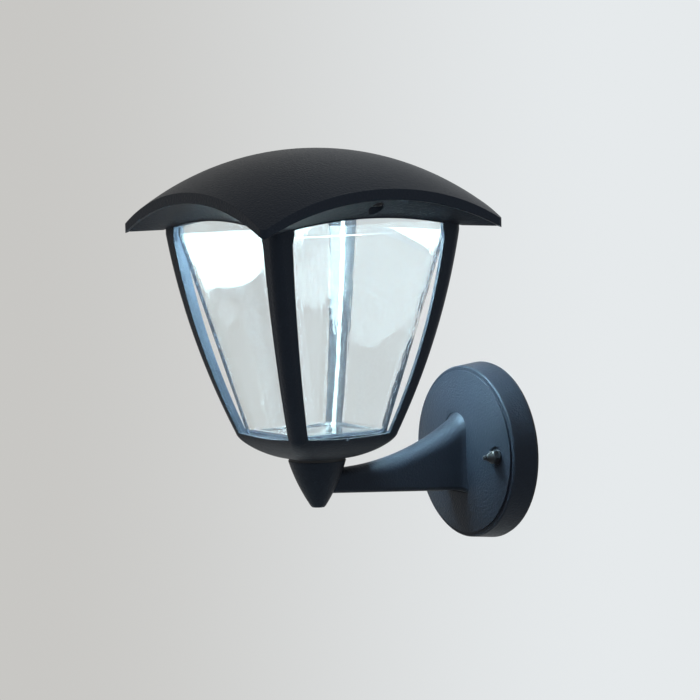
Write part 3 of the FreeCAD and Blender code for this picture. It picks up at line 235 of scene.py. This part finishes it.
add(led_array, "NodeGroupOutput", None, {"Geometry": painted.outputs[0]})


def made_by(group, name, **values):
    """A plain mesh object of what a node group makes with these inputs."""
    maker = bpy.data.objects.new(name + "_maker", bpy.data.meshes.new(name + "_maker"))
    bpy.context.scene.collection.objects.link(maker)
    modifier = maker.modifiers.new("made", "NODES")
    modifier.node_group = group
    for item in group.interface.items_tree:
        if item.in_out == "INPUT" and item.name.replace(" ", "_") in values:
            modifier[item.identifier] = values[item.name.replace(" ", "_")]
    seen = maker.evaluated_get(bpy.context.evaluated_depsgraph_get())
    mesh = bpy.data.meshes.new_from_object(seen)
    maker.modifiers.remove(modifier)
    bpy.data.objects.remove(maker)
    mesh.name = name
    piece = bpy.data.objects.new(name, mesh)
    bpy.context.scene.collection.objects.link(piece)
    return piece


led_low, led_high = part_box("led_packages")
led_rows, led_size = 6, (0.0035, 0.0028, 0.0007)
face_size, face_drop = (0.0026, 0.002, 0.0001), 0.00003
led_pitch = (led_high[0] - led_low[0] - led_size[0]) / (led_rows - 1)
led_middle = [(low + high) / 2.0 for low, high in zip(led_low, led_high)]

# Heat-proof moulded white, slightly glossy, with a little mottling.
housing_white, tree, surface, places = new_finish("white_led_housing", Roughness=0.35, IOR=1.5)
clouds = noise(tree, places, size_mm=1.0, detail=2.0)
tones(tree, surface.inputs["Base Color"], "#E9EAE6", "#F6F6F2", clouds)
led_housings = made_by(led_array, "led_housings", Rows=led_rows, Pitch=led_pitch, Size=led_size,
                       Middle=led_middle, Finish=housing_white)
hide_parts("led_packages")
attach(led_housings, "lantern")

# The phosphor in silicone is yellow where it isn't lit, and even and smooth.
phosphor, tree, surface, places = new_finish("yellow_phosphor_silicone", Roughness=0.2, IOR=1.41)
clouds = noise(tree, places, size_mm=0.5, detail=2.0)
tones(tree, surface.inputs["Base Color"], "#E5C94A", "#F3DC6B", clouds)
led_faces = made_by(led_array, "led_phosphor_faces", Rows=led_rows, Pitch=led_pitch, Size=face_size,
                    Middle=[led_middle[0], led_middle[1], led_low[2] - face_drop], Finish=phosphor)
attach(led_faces, "lantern")


# Opal cover: a shallow tray of opal polycarbonate over the LEDs, snapped into the lamp tray by
# its pins. It spreads the light of the LEDs to one even, cool-white panel, clouded very slightly
# in steps of 17 mm, the pitch of the LEDs.
opal, tree, surface, places = new_finish("lit_opal_polycarbonate", Base_Color=linear("#F2F5F8"),
                                         Roughness=0.4, IOR=1.585)
panel_light = 180.0
clouds = noise(tree, places, size_mm=17.0, detail=1.0)
tones(tree, surface.inputs["Emission Color"], "#D3F0F8", "#E2FCFF", clouds)
surface.inputs["Emission Strength"].default_value = panel_light
dress(opal, "opal_cover")


# LED driver and its leads: a potted power supply in a white moulded case on the tray, screwed
# through its ears, with two thin sleeved leads down to the board.
# Moulded white plastic has a fine spark-eroded texture of about 0.5 mm and a satin gloss.
driver_case, tree, surface, places = new_finish("white_moulded_plastic", Roughness=0.42, IOR=1.5)
grain = noise(tree, places, size_mm=0.5, detail=3.0)
tones(tree, surface.inputs["Base Color"], "#DFDFDA", "#EBEBE6", grain)
relief(tree, surface, strength=0.3, depth_mm=0.04, height=grain)
dress(driver_case, "led_driver", "terminal_block")


# Leads: flexible copper cores in extruded sleeves, white on the supply lead, brown on its cores
# and on the low-voltage leads, green and yellow on the earth lead.
# Extruded soft plastic is smooth and satin, with faint marks from the die.
def sleeve(name, dark, light, mark_mm):
    """The finish of an extruded sleeve, with marks of that size."""
    material, tree, surface, places = new_finish(name, Roughness=0.45, IOR=1.53)
    marks = noise(tree, places, size_mm=mark_mm, detail=2.0)
    tones(tree, surface.inputs["Base Color"], dark, light, marks)
    relief(tree, surface, strength=0.15, depth_mm=0.05, height=marks)
    return material


dress(sleeve("white_lead_sleeve", "#DADAD8", "#E8E8E6", 2.0), "supply_lead")
dress(sleeve("brown_core_sleeve", "#4A2A18", "#5A3622", 1.0), "supply_cores", "dc_leads")

# The earth sleeve is green with yellow bands, one each 4 mm: the wave node repeats 20 / (2 pi)
# times over a length of 1 / Scale.
earth_sleeve, tree, surface, places = new_finish("green_yellow_earth_sleeve", Roughness=0.45,
                                                 IOR=1.53)
band_step_mm, wave_scale = 4.0, 6.283 / 20.0
bands = add(tree, "ShaderNodeTexWave", {"wave_type": "BANDS", "bands_direction": "X",
                                        "Scale": wave_scale * 1000.0 / band_step_mm,
                                        "Distortion": 0.4},
            {"Vector": places})
choice = add(tree, "ShaderNodeMapRange", {"From Min": 0.45, "From Max": 0.55},
             {"Value": bands.outputs["Fac"]})
tones(tree, surface.inputs["Base Color"], "#2E7D32", "#E3D23A", choice.outputs["Result"])
dress(earth_sleeve, "earth_lead")


# Base gasket, grommet and wall gasket: a moulded rubber ring between frame and cup, a rubber
# bush round the lead, and a ring of closed-cell foam that seals the plate to the wall.
# Moulded rubber is a matt, slightly chalky black.
rubber, tree, surface, places = new_finish("matt_moulded_rubber", Roughness=0.75, IOR=1.52)
chalk = noise(tree, places, size_mm=1.5, detail=5.0)
tones(tree, surface.inputs["Base Color"], "#141416", "#222326", chalk)
relief(tree, surface, strength=0.3, depth_mm=0.06, height=chalk)
dress(rubber, "base_gasket", "cable_grommet")

# Cut foam shows its cells, about 0.8 mm, as small pits in a dull charcoal, each pit darkened with
# painted shade.
foam, tree, surface, places = new_finish("closed_cell_foam", Roughness=0.9, IOR=1.45)
foam_cell_mm = 0.8
cells = add(tree, "ShaderNodeTexVoronoi", {"Scale": 1000.0 / foam_cell_mm}, {"Vector": places})
tones(tree, surface.inputs["Base Color"], "#141517", "#303236", cells.outputs["Distance"])
relief(tree, surface, strength=0.6, depth_mm=0.2, height=cells.outputs["Distance"])
dress(foam, "wall_gasket")


# Nipple, washers, locknut, bracket and inner screws: steel, turned, rolled or punched, and
# zinc plated. A hollow threaded nipple clamps frame and cup, and the bracket holds the plate.
# Bright zinc is a cool light grey with a faint spangle of a few millimetres and a finer haze.
zinc, tree, surface, places = new_finish("bright_zinc_plated_steel", Metallic=1.0)
spangle_mm = 4.0
spangle = add(tree, "ShaderNodeTexVoronoi", {"Scale": 1000.0 / spangle_mm}, {"Vector": places})
haze = noise(tree, places, size_mm=1.2, detail=4.0)
mixed = add(tree, "ShaderNodeMix", {"data_type": "FLOAT", 0: 0.6},
            {2: spangle.outputs["Distance"], 3: haze})
tones(tree, surface.inputs["Base Color"], "#A9ADB0", "#CDD1D4", mixed.outputs[0])
gloss(tree, surface, low=0.25, high=0.48, share=mixed.outputs[0])
dress(zinc, "tray_screws", "driver_screws", "base_nipple", "nipple_washer", "nipple_locknut",
      "arm_screws", "wall_bracket", "bracket_screws", "block_screws", "earth_washer",
      "earth_screw", "terminal_screws")


# Terminal inserts: turned from brass rod and pressed into the block's poles.
# Turned brass is a warm yellow with fine tool marks, about 0.3 mm apart.
brass, tree, surface, places = new_finish("turned_brass", Metallic=1.0)
tool_marks = noise(tree, places, size_mm=0.3, detail=2.0)
tones(tree, surface.inputs["Base Color"], "#C8A24E", "#DDBB6C", tool_marks)
gloss(tree, surface, low=0.22, high=0.4, share=tool_marks)
dress(brass, "terminal_inserts")


# Roof screws, cap nuts and their washers: steel, coated black after turning and forming. The
# cap nuts hold the plate to the bracket's studs on both sides of the arm.
# The thin coat is smoother than the powder on the castings, nearly as dull and worn a little grey.
black_steel, tree, surface, places = new_finish(
    "black_coated_steel", Specular_IOR_Level=0.2, Metallic=0.0)
steel_edge_mm = 0.3
wear = noise(tree, places, size_mm=2.2, detail=4.0)
tones(tree, surface.inputs["Base Color"], "#06070A", "#14171C", wear)
gloss(tree, surface, low=0.38, high=0.5, share=wear)
edges = add(tree, "ShaderNodeBevel", {"samples": 4, "Radius": steel_edge_mm / 1000.0})
tree.links.new(edges.outputs["Normal"], surface.inputs["Normal"])
dress(black_steel, "roof_screws", "left_nut_washer", "right_nut_washer", "left_cap_nut",
      "right_cap_nut")


# Floor and backdrop: the light hangs on no wall here, so that its back can be seen. A plain,
# pale, matt floor lies well under it and keeps its shadow, and pale surroundings close behind.
def seen_directly(tree):
    """1 for what the camera sees, also in gloss and through clear plastic, and 0 for light."""
    ray = add(tree, "ShaderNodeLightPath")
    first = add(tree, "ShaderNodeMath", {"operation": "MAXIMUM"},
                {0: ray.outputs["Is Camera Ray"], 1: ray.outputs["Is Glossy Ray"]})
    return add(tree, "ShaderNodeMath", {"operation": "MAXIMUM"},
               {0: first.outputs[0], 1: ray.outputs["Is Transmission Ray"]}).outputs[0]


floor_side, floor_level = 3.2, -0.62
floor_mesh = bpy.data.meshes.new("floor")
reach = floor_side / 2.0
floor_mesh.from_pydata([(-reach, -reach, floor_level), (reach, -reach, floor_level),
                        (reach, reach, floor_level), (-reach, reach, floor_level)], [],
                       [(0, 1, 2, 3)])
floor = bpy.data.objects.new("floor", floor_mesh)
bpy.context.scene.collection.objects.link(floor)
floor_finish, tree, surface, places = new_finish("pale_matt_floor", Roughness=1.0,
                                                 Specular_IOR_Level=0.0)
clouds = noise(tree, places, size_mm=300.0, detail=2.0)
tones(tree, surface.inputs["Base Color"], "#BFBEBD", "#C4C3C2", clouds)
glow = add(tree, "ShaderNodeEmission", {"Color": linear("#D2D2D1")})
glow_share = add(tree, "ShaderNodeMath", {"operation": "MULTIPLY", 1: 0.5},
                 {0: seen_directly(tree)})
tree.links.new(glow_share.outputs[0], glow.inputs["Strength"])
both = add(tree, "ShaderNodeAddShader", None, {0: surface.outputs[0], 1: glow.outputs[0]})
tree.links.new(both.outputs[0], tree.nodes["Material Output"].inputs["Surface"])
floor_mesh.materials.append(floor_finish)

# The surroundings go from a warm pale grey on one side to a cool white on the other: the cool white side
# is a painted glow, standing in for the lamp's cool light on a wall.
camera_turn = radians(57.79)
world = bpy.data.worlds.new("pale_studio")
world.use_nodes = True
bpy.context.scene.world = world
tree = world.node_tree
tree.nodes.clear()
directions = add(tree, "ShaderNodeTexCoord").outputs["Generated"]
sideways = add(tree, "ShaderNodeVectorMath",
               {"operation": "DOT_PRODUCT", 1: (cos(camera_turn), sin(camera_turn), 0.0)},
               {0: directions})
share = add(tree, "ShaderNodeMapRange",
            {"interpolation_type": "SMOOTHSTEP", "From Min": -0.11, "From Max": 0.09},
            {"Value": sideways.outputs["Value"]})
backdrop_with_painted_glow = add(tree, "ShaderNodeMix",
               {"data_type": "RGBA", 6: linear("#C8C7C4"), 7: linear("#E6EAEC")},
               {0: share.outputs["Result"]})
around = add(tree, "ShaderNodeBackground", {"Color": linear("#F3F6FA"), "Strength": 0.45})
pale = add(tree, "ShaderNodeBackground", {"Strength": 1.0}, {"Color": backdrop_with_painted_glow.outputs[2]})
either = add(tree, "ShaderNodeMixShader", None,
             {0: seen_directly(tree), 1: around.outputs[0], 2: pale.outputs[0]})
add(tree, "ShaderNodeOutputWorld", None, {"Surface": either.outputs[0]})


# Studio light: a large soft lamp above on the camera's right and a weaker, wider one on its left.
middle = Vector((0.0, -0.09, 0.07))


def soft_lamp(name, place, side, watts):
    """A square soft lamp that faces the light."""
    lamp = bpy.data.lights.new(name, "AREA")
    lamp.shape, lamp.size, lamp.energy = "SQUARE", side, watts
    stand = bpy.data.objects.new(name, lamp)
    away = Vector(place) - middle
    stand.matrix_world = Matrix.Translation(place) @ away.to_track_quat("Z", "Y").to_matrix().to_4x4()
    bpy.context.scene.collection.objects.link(stand)


soft_lamp("key_lamp", (1.5, 0.3, 1.7), 1.2, 9.0)
soft_lamp("fill_lamp", (0.2, -2.2, 0.9), 1.6, 7.0)


# Camera: where the photograph was taken from, nearly level and a little turned, with a long lens.
raised, tilted = radians(4.58), radians(-1.46)
target, distance, focal_px, image_px = Vector((0.02612, -0.11844, 0.07249)), 1.97006, 3228.22, 700
back = Vector((sin(camera_turn) * cos(raised), -cos(camera_turn) * cos(raised), sin(raised)))
right = Vector((cos(camera_turn), sin(camera_turn), 0.0))
up = back.cross(right)
right, up = right * cos(tilted) + up * sin(tilted), up * cos(tilted) - right * sin(tilted)
lens = bpy.data.cameras.new("camera")
lens.sensor_width = 36.0
lens.lens = focal_px * lens.sensor_width / image_px
camera = bpy.data.objects.new("camera", lens)
camera.matrix_world = Matrix((
    (right.x, up.x, back.x, target.x + back.x * distance),
    (right.y, up.y, back.y, target.y + back.y * distance),
    (right.z, up.z, back.z, target.z + back.z * distance),
    (0.0, 0.0, 0.0, 1.0)))
bpy.context.scene.collection.objects.link(camera)
bpy.context.scene.camera = camera
bpy.context.scene.view_settings.view_transform = "Standard"
